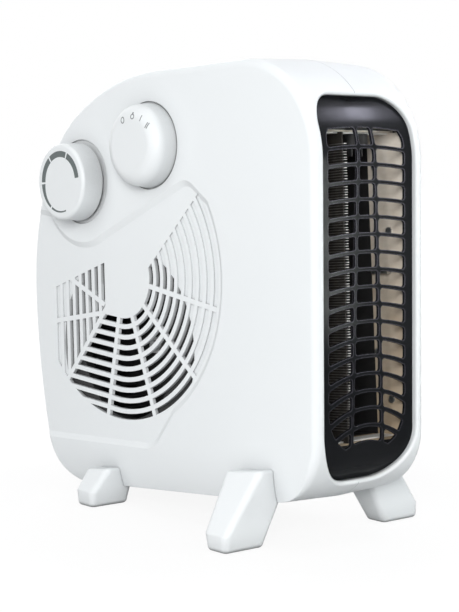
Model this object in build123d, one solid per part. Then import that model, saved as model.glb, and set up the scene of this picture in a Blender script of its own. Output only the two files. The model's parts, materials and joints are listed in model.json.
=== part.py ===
from build123d import *
import math
import os

# Upright fan heater. Sizes are in millimetres.
# Each piece is drawn in the case frame: X across the thickness with 0 on the seam,
# Y from the outlet at the front to the rear, Z up, with Y = Z = 0 at the hub of the intake slots.
# At the end every piece is leaned back and lifted, so that the feet stand on Z = 0.

# Case
half_width = 42.5
front_y = -164.8
front_tilt = 1.3
top_z = 120.5
top_rear_y = -33.0
rear_top_radii = (143.0, 88.0, 165.0)
rear_top_turns = (30.0, 35.0, 25.0)
rear_radius = 430.0
rear_turn = 12.2
rear_bottom_radius = 38.0
bottom_rise = 2.0
front_bottom_radius = 37.0
front_top_radius = 57.0
draft = 2.0
wall = 2.4
rim_round = 4.5
seam_half = 0.15
seam_depth = 0.5
under_turn_z = -97.0
under_turn_radius = 80.0

# Stance
lean = 3.5
floor_gap = 5.9

# Outlet opening and grille
opening_half = 36.0
opening_top = 97.5
opening_bottom = -110.5
opening_top_corner = 18.0
opening_bottom_corner = 27.0
opening_depth = 4.5
opening_round = 1.5
opening_reach = 26.0
opening_flange = 2.2
grille_fit = 0.2
grille_plate = 1.8
grille_back = 1.5
grille_lap = 2.2
grille_rim = 1.5
field_half = 29.8
field_top = 81.2
field_bottom = -94.0
field_top_corner = 9.0
field_bottom_corner = 22.0
row_count = 18
row_pitch = 9.38
first_row_z = 74.5
first_row_rise = 1.9
bar_width = 2.0
post_width = 1.7
post_top = 5.8
post_bottom = 12.4
arch_first = 1.8
arch_growth = 9.5
cell_corner = 1.6

# Intake zone on the control side
zone_depth = 2.0
zone_slope = 60.0
zone_wall = 2.2
zone_radius = 87.0
zone_ledge_z = -97.0
lobe_radius = 40.0
lobe_corner = (-61.0, 53.0)
lobe_corner_round = 9.0
ring_count = 10
first_ring = 26.3
slot_pitch = 6.3
slot_width = 3.5
groove_depth = 0.9
column_count = 8
first_column_y = 19.4
column_pitch = 6.5
rib_width = 3.0
rib_pitch = 30.0
first_rib = 12.0
flat_rise = 7.0
arc_limit_angle = 42.7
arc_limit_start = (-20.5, 2.5)
side_rib_low = ((18.4, -21.6), -7.0)
side_rib_high = ((18.2, -16.8), 25.0)
column_top_line = ((16.0, 9.0), -17.0)
inlet_center = (-1.0, -42.0)
inlet_radius = 61.0

# Knobs
thermostat_at = (35.2, 57.5)
selector_at = (-29.6, 76.3)
well_radius = 25.4
well_depth = 1.2
knob_wall = 1.8
thermostat_base_radius = 23.5
thermostat_face_radius = 22.6
thermostat_height = 16.0
thermostat_gap = 3.2
thermostat_round = 2.2
selector_base_radius = 24.6
selector_face_radius = 22.5
selector_height = 14.5
selector_gap = 0.6
selector_round = 8.5
shaft_radius = 3.0
shaft_fit = 0.05
shaft_hole_clear = 1.0
knob_sleeve = 5.6
shaft_stop = 3.0
thermostat_body_radius = 15.0
thermostat_body_depth = 15.0
selector_body_size = 32.0
selector_body_depth = 17.0
control_screw_radius = 1.5
control_screw_reach = 13.0

# Feet: heights and places are measured in the upright frame, from the hub
foot_round = 4.0
foot_bottom_round = 2.5
foot_top_slope = 8.0
foot_top_round = 1.6
shoe_height = 9.0
foot_spare = 10.0
front_foot_top = -96.5
front_foot_outer = 53.0
front_foot_inner = 27.0
front_foot_splay = 0.75
front_foot_inner_splay = 0.52
front_foot_front_y = -134.0
front_foot_rear_y = -107.0
front_foot_narrow = 0.28
rear_foot_top = -115.5
rear_foot_outer = 50.5
rear_foot_inner = 27.4
rear_foot_splay = 0.9
rear_foot_inner_splay = 0.3
rear_foot_front_y = 0.5
rear_foot_rear_y = 20.0
rear_foot_narrow = 0.2
foot_screw_radius = 1.6
foot_screw_head = 3.4
foot_screw_head_height = 2.0
foot_screw_seat = 5.0
foot_screw_length = 15.0
foot_screw_clear = 0.3
foot_screw_inset = 4.3
foot_screw_rise = 3.0
foot_screw_lean = 1.0
foot_pad_edge = 2.0

# Case screws
case_screw_places = ((-92.0, 104.0), (38.0, 88.0), (78.5, -8.0), (0.0, -119.2), (-128.0, -107.0))
boss_radius = 4.6
case_screw_radius = 1.6
case_screw_head = 3.4
case_screw_sink = 5.0
case_screw_seat = 3.0
case_screw_bite = 14.0
case_screw_clear = 0.3

# Air path
fan_center = (0.0, -42.0)
duct_wall = 1.8
duct_side = 1.0
duct_side_clear = 0.4
duct_top_z = 79.3
duct_floor_z = -91.5
duct_mouth_y = -149.5
duct_shoulder_y = -118.0
duct_knee_y = -108.0
scroll_radius = 64.0
scroll_tongue_angle = 110.0
scroll_grow = 6.0
wheel_radius = 54.0
wheel_rim = 0.6
wheel_eye = 46.0
blade_inner = 44.5
blade_count = 30
blade_thick = 1.0
blade_sweep = 9.0
wheel_front_x = -32.0
wheel_back_x = 0.0
wheel_plate = 1.6
wheel_hub_radius = 8.0
wheel_hub_length = 13.0
inlet_ring_outer = 66.0
inlet_ring_inner = 42.5
inlet_ring_plate = 1.4
inlet_lip = 1.6
inlet_lip_reach = 6.5

# Motor
stack_front_x = 16.0
stack_depth = 18.0
stack_width = 60.0
stack_below = 24.0
stack_above = 20.0
window_half = 16.0
window_height = 14.0
limb_height = 10.0
rotor_radius = 12.7
rotor_air_gap = 0.5
rotor_short = 1.0
coil_half_length = 14.0
coil_build = 4.4
bobbin_wall = 1.1
bearing_radius = 6.0
bearing_length = 5.0
bearing_fit = 0.03
housing_radius = 9.0
bracket_plate = 2.0
bracket_height = 24.0
front_housing_reach = 8.0
back_housing_reach = 4.0
motor_screw_y = 25.0
motor_screw_radius = 1.7
motor_screw_head = 3.2
motor_screw_head_height = 2.2
motor_screw_bite = 3.0
motor_boss_radius = 5.0
nut_radius = 5.5
nut_thick = 4.0

# Heating element
mica = 1.0
board_x = 33.5
board_gap = 0.3
board_rear_y = -130.0
board_slant = 4.5
end_front_y = -149.0
card_x = -6.0
card_front_y = -149.3
card_depth = 17.0
wire_radius = 0.42
wire_standoff = 1.25
wire_loops = 24
wire_end_gap = 9.0
strap_thick = 0.8
strap_depth = 9.0
strap_front_y = -146.0
rivet_radius = 2.2
rivet_height = 0.9
rivet_shank = 1.1
cutout_radius = 7.5
cutout_height = 6.0
cutout_at = (12.0, -141.0)
fuse_radius = 2.0
fuse_length = 12.0
fuse_z = 2.0
fuse_y = -141.0

# Rear entry and terminals
gland_z = -78.0
gland_flange = 9.0
gland_neck = 6.0
gland_flange_thick = 3.0
gland_inner_thick = 2.5
gland_bore = 3.3
gland_nose = 9.0
gland_reach = 30.0
terminal_center = (64.0, -98.0)
terminal_size = (16.0, 18.0, 12.0)
terminal_screw_radius = 1.8
terminal_count = 3

section = Plane.YZ


def heading_vector(angle):
    """Unit vector of a clockwise heading: 0 points to the rear, 90 points down."""
    return (math.cos(math.radians(angle)), -math.sin(math.radians(angle)))


def outline():
    """Side outline of the case at the seam, as one closed face in the YZ plane."""
    turns = list(zip(rear_top_radii, rear_top_turns))
    turns.append((rear_radius, rear_turn))
    turns.append((rear_bottom_radius, 180.0 + bottom_rise - sum(rear_top_turns) - rear_turn))
    edges = []
    point = (top_rear_y, top_z)
    heading = 0.0
    for radius, turn in turns:
        arc = JernArc(point, heading_vector(heading), radius, -turn)
        edges.append(arc)
        point = (arc @ 1).X, (arc @ 1).Y
        heading += turn
    rise = math.radians(bottom_rise)
    tilt = math.radians(front_tilt)
    radius = front_bottom_radius
    reach = point[0] - front_y + radius * (math.sin(rise) - 1.0 / math.cos(tilt))
    lift = math.tan(tilt) * (point[1] + radius * math.cos(rise))
    run = (reach + lift) / (1.0 - math.tan(tilt) * math.tan(rise))
    corner = (point[0] - run, point[1] + run * math.tan(rise))
    edges.append(Line(point, corner))
    low = JernArc(corner, heading_vector(heading), radius, -(90.0 - bottom_rise - front_tilt))
    edges.append(low)
    high_z = top_z - front_top_radius * (1.0 + math.sin(tilt))
    high = (front_y - math.tan(tilt) * high_z, high_z)
    edges.append(Line(low @ 1, high))
    crown = JernArc(high, (-math.sin(tilt), math.cos(tilt)), front_top_radius, -(90.0 + front_tilt))
    edges.append(crown)
    edges.append(Line(crown @ 1, (top_rear_y, top_z)))
    return make_face(Curve() + edges)


case_face = outline()


def hub_above_floor():
    """Height of the hub when the leaned case clears the floor by its gap."""
    leaned = Rot(-lean, 0, 0) * extrude(section * case_face, amount=1)
    return floor_gap - leaned.bounding_box().min.Z


hub_height = hub_above_floor()


def inset_face(distance):
    """The case outline moved inward by a distance."""
    if distance == 0:
        return case_face
    return offset(case_face, -distance, kind=Kind.INTERSECTION)


def width_limit(inset):
    """Front view of one half: straight above the turn line, drawn in on a large arc under it."""
    x_full = half_width - inset
    turn = JernArc((x_full, under_turn_z), (0, -1), under_turn_radius - inset, -35)
    low = (turn @ 1).Y
    lines = [
        turn,
        Line(turn @ 1, (0, low)),
        Line((0, low), (0, top_z + 20)),
        Line((0, top_z + 20), (x_full, top_z + 20)),
        Line((x_full, top_z + 20), (x_full, under_turn_z)),
    ]
    return extrude(Plane.XZ * make_face(Curve() + lines), amount=300, both=True)


def case_half(inset, rim):
    """One solid half of the case on the +X side, drawn in by an inset."""
    body = extrude(section * inset_face(inset), amount=half_width - inset, taper=draft)
    rim_edges = body.faces().sort_by(Axis.X)[-1].edges()
    return fillet(rim_edges, rim) & width_limit(inset)


def side_prism(inset, reach):
    """The outline drawn in by an inset, as a straight prism over both halves."""
    return extrude(section * inset_face(inset), amount=reach, both=True)


def whole_case(inset):
    """Both halves of the case as solid bodies, drawn in by an inset."""
    half = case_half(inset, rim_round - inset)
    return half + mirror(half, about=Plane.YZ)


def rounded_frame(half, low, high, low_corner, high_corner):
    """Upright rectangle with one corner radius at its foot and another at its head."""
    shape = Pos(0, (low + high) / 2) * Rectangle(2 * half, high - low)
    shape = fillet(shape.vertices().group_by(Axis.Y)[-1], high_corner)
    return fillet(shape.vertices().group_by(Axis.Y)[0], low_corner)


def front_window(grow, reach):
    """Block seen from the front as the outlet opening, grown by a margin."""
    shape = rounded_frame(
        opening_half + grow, opening_bottom - grow, opening_top + grow,
        opening_bottom_corner + grow, opening_top_corner + grow)
    block = extrude(Plane.XZ * shape, amount=reach + 10)
    return Pos(0, front_y + reach, 0) * block


def shell_blank():
    """Hollow half on the +X side with the outlet opening and its turned-in flange."""
    outer = case_half(0, rim_round)
    shell = outer - case_half(wall, rim_round - wall)
    seat_depth = opening_depth + grille_plate
    ring = front_window(opening_flange, 60)
    ring = (ring & outer) - side_prism(seat_depth, half_width + 5)
    shell = shell + ring
    window = front_window(0, opening_reach)
    bosses = [x_cylinder(place, boss_radius, 0, half_width) for place in case_screw_places]
    pads = [mirror(pad, about=Plane.YZ) for pad in foot_pads()]
    shell = shell + ((Part() + bosses + pads) & outer)
    shell = shell - window - [mirror(hole, about=Plane.YZ) for hole in foot_screw_holes()]
    shell = fillet(opening_edges(shell), opening_round)
    return shell - (side_prism(-1, seam_half) - side_prism(seam_depth, seam_half))


def opening_edges(shell):
    """Outer edges of the outlet opening on a half shell."""
    skin = case_half(0, rim_round).shells()[0]
    walls = front_window(0, opening_reach).shells()[0]
    found = []
    for edge in shell.edges():
        middle = edge.position_at(0.5)
        near_front = middle.Y < front_y + opening_reach and middle.X > 0.01
        if near_front and skin.distance_to(middle) < 0.01 and walls.distance_to(middle) < 0.01:
            found.append(edge)
    return found


def x_cylinder(place, radius, x_from, x_to):
    """Cylinder along X at a (y, z) place."""
    disc = Pos(place[0], place[1]) * Circle(radius)
    return Pos(x_from, 0, 0) * extrude(section * disc, amount=x_to - x_from)


def x_block(shape, x_from, x_to):
    """A sketch of the YZ plane extruded from one X to another."""
    return Pos(x_from, 0, 0) * extrude(section * shape, amount=x_to - x_from)


def box_between(x0, x1, y0, y1, z0, z1):
    """Box given by its faces."""
    return Pos((x0 + x1) / 2, (y0 + y1) / 2, (z0 + z1) / 2) * Box(x1 - x0, y1 - y0, z1 - z0)


def intake_zone():
    """Outline of the sunk intake zone: under the lobe line, round the slots, down to the ledge."""
    knob_y, knob_z = thermostat_at
    beyond = 110.0
    start = (knob_y + lobe_radius * 0.86, knob_z - lobe_radius * 0.51)
    foot = (knob_y - lobe_radius * 0.5, knob_z - lobe_radius * 0.866)
    low = math.radians(60.0)
    last = (-zone_radius * math.cos(low), -zone_radius * math.sin(low))
    side = (-zone_radius * math.cos(math.radians(28)), zone_radius * math.sin(math.radians(28)))
    lines = [
        Line((beyond, zone_ledge_z), (beyond, start[1] + 6)),
        Line((beyond, start[1] + 6), start),
        ThreePointArc(start, (knob_y, knob_z - lobe_radius), foot),
        Line(foot, lobe_corner),
        Line(lobe_corner, side),
        ThreePointArc(side, (-zone_radius, 0), last),
        Line(last, (last[0] + 18, zone_ledge_z)),
        Line((last[0] + 18, zone_ledge_z), (beyond, zone_ledge_z)),
    ]
    face = make_face(Curve() + lines)
    corner = face.vertices().sort_by_distance(Vector(lobe_corner[0], lobe_corner[1], 0))[0]
    face = fillet(corner, lobe_corner_round)
    lower = face.vertices().sort_by_distance(Vector(last[0] + 18, zone_ledge_z, 0))[0]
    return fillet(lower, 14)


def sunk_zone(zone):
    """Cutter of the sunk zone, with sloping side walls."""
    floor = Plane(origin=(-half_width + zone_depth, 0, 0), x_dir=(0, -1, 0), z_dir=(-1, 0, 0))
    return extrude(floor * mirror(zone, about=Plane.YZ), amount=zone_depth + 0.5, taper=-zone_slope)


def band(start, angle, length, width):
    """Straight strip in the YZ plane from a point; the angle is measured from +Y to +Z."""
    return Pos(*start) * Rot(0, 0, angle) * Pos(length / 2, 0) * Rectangle(length, width)


def half_plane(start, angle, size=400.0):
    """Everything to the left of a line through a point at an angle."""
    return Pos(*start) * Rot(0, 0, angle) * Pos(0, size / 2) * Rectangle(2 * size, size)


def ring_slots():
    """Slots round the hub: arcs from the upper line to the fourth rib, then straight runs."""
    fourth = first_rib + 3 * rib_pitch
    fifth = fourth + rib_pitch
    pieces = Sketch()
    before_fourth = half_plane((0, 0), fourth)
    above = half_plane(arc_limit_start, -arc_limit_angle)
    for index in range(ring_count):
        radius = first_ring + index * slot_pitch
        ring = Circle(radius + slot_width / 2) - Circle(radius - slot_width / 2)
        angle = math.radians(180.0 + fourth)
        start = (radius * math.cos(angle), radius * math.sin(angle))
        run = band(start, flat_rise, 90.0, slot_width)
        pieces = pieces + ((ring & before_fourth) - above) + run
    return pieces - half_plane((0, 0), 180.0 + fifth), fifth


def column_slots(fifth):
    """Upright slots behind the hub, from the fifth rib up to their slanting top line."""
    pieces = Sketch()
    for index in range(column_count):
        y = first_column_y + index * column_pitch
        pieces = pieces + Pos(y, -40) * Rectangle(slot_width, 140)
    keep = half_plane((0, 0), 180.0 + fifth)
    top_place, top_angle = column_top_line
    return (pieces & keep) - half_plane(top_place, top_angle)


def slot_field():
    """All intake slots and grooves in the YZ plane, with the ribs between them."""
    rings, fifth = ring_slots()
    columns = column_slots(fifth)
    field = rings + columns
    for index in range(5):
        angle = 180.0 + first_rib + index * rib_pitch
        field = field - band((0, 0), angle, 120.0, rib_width)
    for place, angle in (side_rib_low, side_rib_high):
        field = field - band(place, angle, 80.0, rib_width)
    limit = Circle(first_ring + (ring_count - 1) * slot_pitch + slot_width / 2)
    return field & limit


def control_side_shell():
    """Near half: intake slots, knob wells, raised lobe, screw bosses."""
    shell = mirror(shell_blank(), about=Plane.YZ)
    outer = mirror(case_half(0, rim_round), about=Plane.YZ)
    zone = intake_zone()
    face_x = -half_width
    back = face_x + zone_depth + zone_wall
    pad = x_block(zone, face_x + 1, back) & outer
    shell = shell + pad
    shell = shell - sunk_zone(zone)
    for place in (thermostat_at, selector_at):
        shell = shell - x_cylinder(place, well_radius, face_x - 5, face_x + well_depth)
        shell = shell - x_cylinder(place, shaft_radius + shaft_hole_clear, face_x, face_x + 6)
    slots = slot_field()
    open_disc = Pos(*inlet_center) * Circle(inlet_radius)
    outer_skin = face_x + zone_depth
    shell = shell - x_block(slots, outer_skin - 1, outer_skin + groove_depth)
    shell = shell - x_block(slots & open_disc, outer_skin - 1, back + 1)
    for place in case_screw_places:
        shell = shell - x_cylinder(place, case_screw_radius, -case_screw_bite, 0)
    for place in control_screw_places():
        shell = shell - x_cylinder(place, control_screw_radius, face_x + well_depth, face_x + 6)
    return shell - gland_hole()


def far_side_shell():
    """Other half: plain side with screw wells, bosses for the motor."""
    outer = case_half(0, rim_round)
    shell = shell_blank()
    inner_x = half_width - wall
    boss_from = stack_front_x + stack_depth + bracket_plate
    bosses = [x_cylinder(place, motor_boss_radius, boss_from, inner_x) for place in motor_screw_places()]
    shell = shell + bosses
    for place in motor_screw_places():
        shell = shell - x_cylinder(place, motor_screw_radius, boss_from, boss_from + motor_screw_bite)
    sink = x_sink()
    for place in case_screw_places:
        shell = shell - x_cylinder(place, case_screw_radius + case_screw_clear, -1, half_width + 1)
        shell = shell - x_cylinder(place, case_screw_head + case_screw_clear, sink, half_width + 1)
    shell = shell - gland_hole()
    return shell & outer


def x_sink():
    """X of the seat under the heads of the case screws."""
    return half_width - case_screw_sink - case_screw_seat


def case_screws():
    """Screws that draw the two halves together."""
    screws = []
    seat = x_sink()
    for place in case_screw_places:
        shank = x_cylinder(place, case_screw_radius, -case_screw_bite, seat)
        head = x_cylinder(place, case_screw_head, seat, seat + case_screw_seat)
        slot = x_block(Pos(*place) * cross(case_screw_head * 1.1, 0.9), seat + 1.4, seat + 5)
        screws.append(shank + head - slot)
    return screws


def cross(size, width):
    """Cross recess of a screw head."""
    return Rectangle(size, width) + Rectangle(width, size)


def row_arch(z_middle):
    """How far a bar's ends drop under its middle, growing from the top row down."""
    share = (first_row_z - z_middle) / ((row_count - 1) * row_pitch)
    return arch_first + arch_growth * max(0.0, share) ** 3


def post_x(z):
    """Half distance between the two upright posts at a height."""
    share = (field_top - z) / (field_top - field_bottom)
    return post_top + (post_bottom - post_top) * share


def cell(x_left, x_right, z_middle, rise):
    """One grille cell between two uprights, with arched top and bottom edges."""
    half = (row_pitch - bar_width) / 2
    arch = row_arch(z_middle)

    def edge_z(x, side):
        edge = half + rise if side > 0 else -half
        return z_middle + edge - arch * (x / field_half) ** 2

    x_mid = (x_left + x_right) / 2
    lines = [
        ThreePointArc((x_left, edge_z(x_left, 1)), (x_mid, edge_z(x_mid, 1)), (x_right, edge_z(x_right, 1))),
        Line((x_right, edge_z(x_right, 1)), (x_right, edge_z(x_right, -1))),
        ThreePointArc((x_right, edge_z(x_right, -1)), (x_mid, edge_z(x_mid, -1)), (x_left, edge_z(x_left, -1))),
        Line((x_left, edge_z(x_left, -1)), (x_left, edge_z(x_left, 1))),
    ]
    face = make_face(Curve() + lines)
    return fillet(face.vertices(), cell_corner)


def grille_cells():
    """All cells of the outlet grille, seen from the front."""
    field = rounded_frame(field_half, field_bottom, field_top, field_bottom_corner, field_top_corner)
    cells = []
    for row in range(row_count):
        z = first_row_z - row * row_pitch
        rise = first_row_rise if row == 0 else 0.0
        post = post_x(z)
        half_post = post_width / 2
        spans = (
            (-field_half, -post - half_post), (-post + half_post, post - half_post),
            (post + half_post, field_half))
        for x_left, x_right in spans:
            cells.append(cell(x_left, x_right, z, rise))
    return [piece & field for piece in cells]


def outlet_grille():
    """Black grille: a plate that follows the front outline, with a lap behind the flange."""
    reach = half_width
    plate = side_prism(opening_depth, reach) - side_prism(opening_depth + grille_plate, reach)
    plate = plate & front_window(-grille_fit, opening_reach)
    lap_from = opening_depth + grille_plate
    lap = side_prism(lap_from, reach) - side_prism(lap_from + grille_back, reach)
    lap = (lap & front_window(grille_lap, opening_reach)) - front_window(-grille_rim, opening_reach)
    body = plate + lap
    cutters = [Pos(0, front_y + 40, 0) * extrude(Plane.XZ * piece, amount=60) for piece in grille_cells()]
    return body - cutters


def foot_blank(top, outer, inner, splays, depth, narrow):
    """Splayed foot in the upright frame, longer than needed at both ends, with an upright shoe."""
    shoe = shoe_height - hub_height
    sections = []
    for z in (top + foot_spare, shoe, -hub_height - foot_spare):
        drop = top - z
        x_outer = outer + splays[0] * min(drop, top - shoe)
        x_inner = inner + splays[1] * drop
        y_front, y_rear = depth[0], depth[1] - narrow * drop
        place = Pos(-(x_outer + x_inner) / 2, (y_front + y_rear) / 2, z)
        sections.append(place * RectangleRounded(x_outer - x_inner, y_rear - y_front, foot_round))
    return loft(sections, ruled=True)


def finished_foot(blank, top, depth, screw):
    """Foot cut to its sloping top and the floor, rounded, then cut to the case above it."""
    above = Pos(0, sum(depth) / 2, top) * Rot(-foot_top_slope, 0, 0) * box_between(-200, 200, -200, 200, 0, 90)
    below = Pos(0, 0, -hub_height) * box_between(-200, 200, -400, 400, -200, 0)
    foot = blank - above - below
    foot = fillet(foot.faces().sort_by(Axis.Z)[0].edges(), foot_bottom_round)
    foot = fillet(foot.faces().sort_by(Axis.Z)[-1].edges(), foot_top_round)
    foot = Rot(lean, 0, 0) * foot - mirror(case_half(0, rim_round), about=Plane.YZ) - screw
    return foot.solids().sort_by(SortBy.VOLUME)[-1]


def front_foot():
    depth = (front_foot_front_y, front_foot_rear_y)
    blank = foot_blank(
        front_foot_top, front_foot_outer, front_foot_inner,
        (front_foot_splay, front_foot_inner_splay), depth, front_foot_narrow)
    return finished_foot(blank, front_foot_top, depth, foot_screw(front_foot_axis()))


def rear_foot():
    depth = (rear_foot_front_y, rear_foot_rear_y)
    blank = foot_blank(
        rear_foot_top, rear_foot_outer, rear_foot_inner,
        (rear_foot_splay, rear_foot_inner_splay), depth, rear_foot_narrow)
    return finished_foot(blank, rear_foot_top, depth, foot_screw(rear_foot_axis()))


def floor_outside_z(y):
    """Underside of the case at a depth, on the seam."""
    probe = side_prism(0, 1) & box_between(-0.5, 0.5, y - 0.05, y + 0.05, -200, 0)
    return probe.bounding_box().min.Z


def foot_axis(depth, top):
    """Frame of a foot screw: origin in the lower corner of the case, Z up into the case."""
    turn = math.radians(lean)
    y = math.cos(turn) * sum(depth) / 2 - math.sin(turn) * top
    z = floor_outside_z(y) + foot_screw_rise
    return Plane(origin=(foot_screw_inset - half_width, y, z), z_dir=(foot_screw_lean, 0, 1))


def front_foot_axis():
    return foot_axis((front_foot_front_y, front_foot_rear_y), front_foot_top)


def rear_foot_axis():
    return foot_axis((rear_foot_front_y, rear_foot_rear_y), rear_foot_top)


def along(frame, radius, start, end):
    """Cylinder on the Z axis of a frame."""
    middle = (start + end) / 2
    return frame * Pos(0, 0, middle) * Cylinder(radius, end - start)


def foot_screw(frame):
    """Screw from inside the case down into a foot, on the control side."""
    head = along(frame, foot_screw_head, foot_screw_seat, foot_screw_seat + foot_screw_head_height)
    return head + along(frame, foot_screw_radius, foot_screw_seat - foot_screw_length, foot_screw_seat)


def foot_screws():
    """The four foot screws."""
    near = [foot_screw(front_foot_axis()), foot_screw(rear_foot_axis())]
    return near + [mirror(screw, about=Plane.YZ) for screw in near]


def foot_screw_holes():
    """Clear holes and seats for the foot screws of the control side."""
    holes = []
    for frame in (front_foot_axis(), rear_foot_axis()):
        holes.append(along(frame, foot_screw_radius + foot_screw_clear, -20, foot_screw_seat))
        holes.append(along(
            frame, foot_screw_head + foot_screw_clear, foot_screw_seat, foot_screw_seat + 12))
    return holes


def foot_pads():
    """Pads under the screw heads of the control side."""
    radius = foot_screw_head + foot_pad_edge
    return [along(frame, radius, 0, foot_screw_seat) for frame in (front_foot_axis(), rear_foot_axis())]


def knob(place, height, radii, gap, rounding):
    """Hollow knob on the control side with a sleeve for its shaft; radii of its base and its face."""
    base_radius, face_radius = radii
    base_x = -half_width + well_depth - gap
    face_x = -half_width - height
    length = base_x - face_x
    outer = loft([
        Plane.YZ.offset(base_x) * Circle(base_radius),
        Plane.YZ.offset(face_x) * Circle(face_radius)])
    rim = outer.edges().sort_by(Axis.X)[0]
    outer = fillet(rim, rounding)
    inner = loft([
        Plane.YZ.offset(base_x) * Circle(base_radius - knob_wall),
        Plane.YZ.offset(face_x + knob_wall) * Circle(face_radius - max(knob_wall, rounding))])
    sleeve = Pos(face_x + 1, 0, 0) * extrude(section * Circle(knob_sleeve), amount=length - 1)
    sleeve = sleeve & outer
    bore = Pos(face_x + shaft_stop, 0, 0) * extrude(section * Circle(shaft_radius), amount=length)
    return Pos(0, place[0], place[1]) * (outer - inner + sleeve - bore)


def thermostat_knob():
    radii = (thermostat_base_radius, thermostat_face_radius)
    return knob(thermostat_at, thermostat_height, radii, thermostat_gap, thermostat_round)


def selector_knob():
    radii = (selector_base_radius, selector_face_radius)
    return knob(selector_at, selector_height, radii, selector_gap, selector_round)


def control_shaft(place, height, body_depth):
    """Shaft of a rotary control, from its knob into its body."""
    start = -half_width - height + shaft_stop
    end = -half_width + wall + body_depth - 3.0
    return x_cylinder(place, shaft_radius, start, end)


def control_screw_places():
    """Places of the two screws of each rotary control."""
    places = []
    for place in (thermostat_at, selector_at):
        for side in (-1, 1):
            places.append((place[0] + side * control_screw_reach, place[1]))
    return places


def control_body(place, shape, depth):
    """Housing of a rotary control seated on the inner face of the shell."""
    inner_x = -half_width + wall
    body = x_block(Pos(*place) * shape, inner_x, inner_x + depth)
    body = body - x_cylinder(place, shaft_radius + shaft_fit, inner_x - 1, inner_x + depth - 3.0)
    for side in (-1, 1):
        at = (place[0] + side * control_screw_reach, place[1])
        body = body - x_cylinder(at, control_screw_radius, inner_x - 1, inner_x + 5)
    return body


def thermostat_body():
    shape = Circle(thermostat_body_radius) + Rectangle(2 * control_screw_reach + 8, 9)
    body = control_body(thermostat_at, shape, thermostat_body_depth)
    inner_x = -half_width + wall
    tabs = []
    for side in (-1, 1):
        z = thermostat_at[1] + side * 7
        tabs.append(box_between(
            inner_x + thermostat_body_depth, inner_x + thermostat_body_depth + 6,
            thermostat_at[0] - 3, thermostat_at[0] + 3, z - 0.5, z + 0.5))
    return body + tabs


def selector_body():
    shape = RectangleRounded(selector_body_size, selector_body_size, 3)
    body = control_body(selector_at, shape, selector_body_depth)
    inner_x = -half_width + wall
    tabs = []
    for step in (-9, -3, 3, 9):
        y = selector_at[0] + step
        tabs.append(box_between(
            inner_x + selector_body_depth, inner_x + selector_body_depth + 6,
            y - 0.5, y + 0.5, selector_at[1] - 3, selector_at[1] + 3))
    return body + tabs


def control_screws(place):
    """The two screws that hold a rotary control, heads hidden under the knob."""
    head_x = -half_width + well_depth
    screws = []
    for side in (-1, 1):
        at = (place[0] + side * control_screw_reach, place[1])
        screws.append(x_cylinder(at, control_screw_radius, head_x, -half_width + wall + 5)
                      + x_cylinder(at, 2.6, head_x - 1.0, head_x))
    return screws


def duct_path_face():
    """Closed face whose border is the middle line of the duct and scroll wall."""
    middle = duct_wall / 2
    top = duct_top_z + middle
    floor = duct_floor_z - middle
    axis_y, axis_z = fan_center
    tongue = math.radians(scroll_tongue_angle)
    start = (axis_y + scroll_radius * math.cos(tongue), axis_z + scroll_radius * math.sin(tongue))
    wide = scroll_radius + scroll_grow
    lines = [
        Line((duct_mouth_y, floor), (duct_mouth_y, top)),
        Line((duct_mouth_y, top), (duct_shoulder_y, top)),
        Line((duct_shoulder_y, top), start),
        ThreePointArc(start, (axis_y + scroll_radius + scroll_grow / 2, axis_z), (axis_y, axis_z - wide)),
        Line((axis_y, axis_z - wide), (duct_knee_y, floor)),
        Line((duct_knee_y, floor), (duct_mouth_y, floor)),
    ]
    return make_face(Curve() + lines)


def duct_side_plate(shape):
    """Side plate of the duct on the far shell, open round the motor bosses and the rear bearing."""
    x_to = half_width - wall
    plate = x_block(shape, x_to - duct_side, x_to)
    for place in motor_screw_places():
        plate = plate - x_cylinder(place, motor_boss_radius + duct_side_clear, x_to - 5, x_to + 1)
    return plate - x_cylinder(fan_center, housing_radius + duct_side_clear, x_to - 5, x_to + 1)


def air_duct():
    """Scroll round the wheel that widens into the outlet duct."""
    path = duct_path_face()
    outer = offset(path, duct_wall / 2, kind=Kind.INTERSECTION)
    ring = outer - offset(path, -duct_wall / 2, kind=Kind.INTERSECTION)
    middle = (duct_top_z + duct_floor_z) / 2
    mouth = Pos(duct_mouth_y - 5 + duct_wall / 2, middle) * Rectangle(10, duct_top_z - duct_floor_z)
    duct = x_block(ring - mouth, -half_width, half_width) + duct_side_plate(outer)
    duct = duct & whole_case(wall)
    behind_zone = x_block(intake_zone(), -half_width - 1, -half_width + zone_depth + zone_wall)
    spare = x_block(Pos(duct_mouth_y - 5, middle) * Rectangle(10, 300), -half_width, half_width)
    return duct - behind_zone - spare


def inlet_ring():
    """Orifice ring behind the intake slots, with a lip into the wheel eye."""
    x_from = -half_width + zone_depth + zone_wall
    plate = x_cylinder(fan_center, inlet_ring_outer, x_from, x_from + inlet_ring_plate)
    lip = x_cylinder(fan_center, inlet_ring_inner + inlet_lip, x_from, x_from + inlet_lip_reach)
    hole = x_cylinder(fan_center, inlet_ring_inner, x_from - 1, x_from + inlet_lip_reach + 1)
    ring = (plate + lip) - hole
    keep = offset(duct_path_face(), -duct_wall / 2 - 0.3, kind=Kind.INTERSECTION)
    return ring & x_block(keep, x_from - 5, x_from + 20)


def blade():
    """One forward curved blade of the wheel, seen along the axis."""
    sweep = math.radians(blade_sweep)
    middle_radius = (wheel_radius + blade_inner) / 2
    root = (blade_inner, 0.0)
    mid = (middle_radius * math.cos(sweep * 0.3), middle_radius * math.sin(sweep * 0.3))
    tip = (wheel_radius * math.cos(sweep), wheel_radius * math.sin(sweep))
    return trace(ThreePointArc(root, mid, tip), blade_thick)


def wheel_bore():
    """Shaft bore through the wheel."""
    return x_block(Circle(shaft_radius), wheel_back_x - 40, wheel_back_x + 1)


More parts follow.
